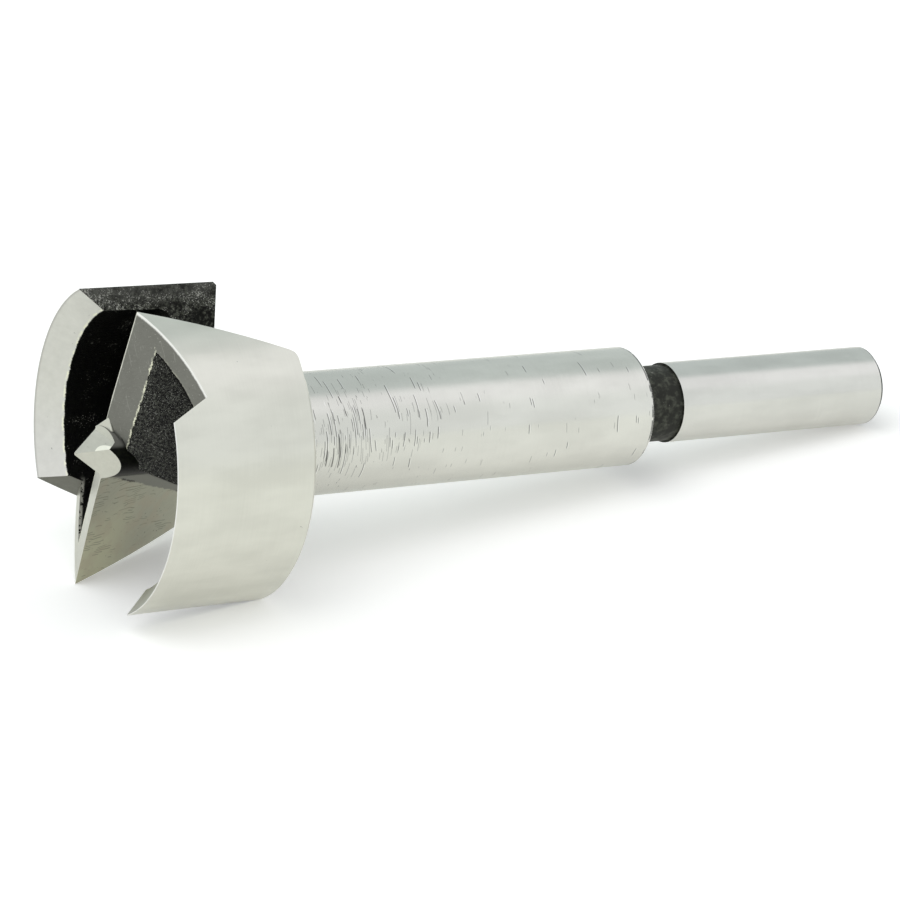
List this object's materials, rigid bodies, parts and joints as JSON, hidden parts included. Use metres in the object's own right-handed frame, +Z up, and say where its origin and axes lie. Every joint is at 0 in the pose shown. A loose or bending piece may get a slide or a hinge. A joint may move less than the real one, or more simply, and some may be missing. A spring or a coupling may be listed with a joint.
{
  "type": "drill bit",
  "caption": "Solid steel boring bit: a rim-guided cutter head with a short centre point bores flat-bottomed holes, and a plain round shank is clamped in a drill chuck.",
  "frame": {"origin": "centre of the bottom of the bounding box, on the surface the bit lies on", "axes": "X runs along the bit from its cutter head (-X) to its shank (+X), Y is across it, Z is up"},
  "size_m": [0.1112, 0.038, 0.0365],
  "materials": {
    "steel": "satin ground steel; black rough forged skin in the pockets and at the neck"
  },
  "bodies": {
    "root": {"boring_bit": "steel"}
  },
  "joints": []
}
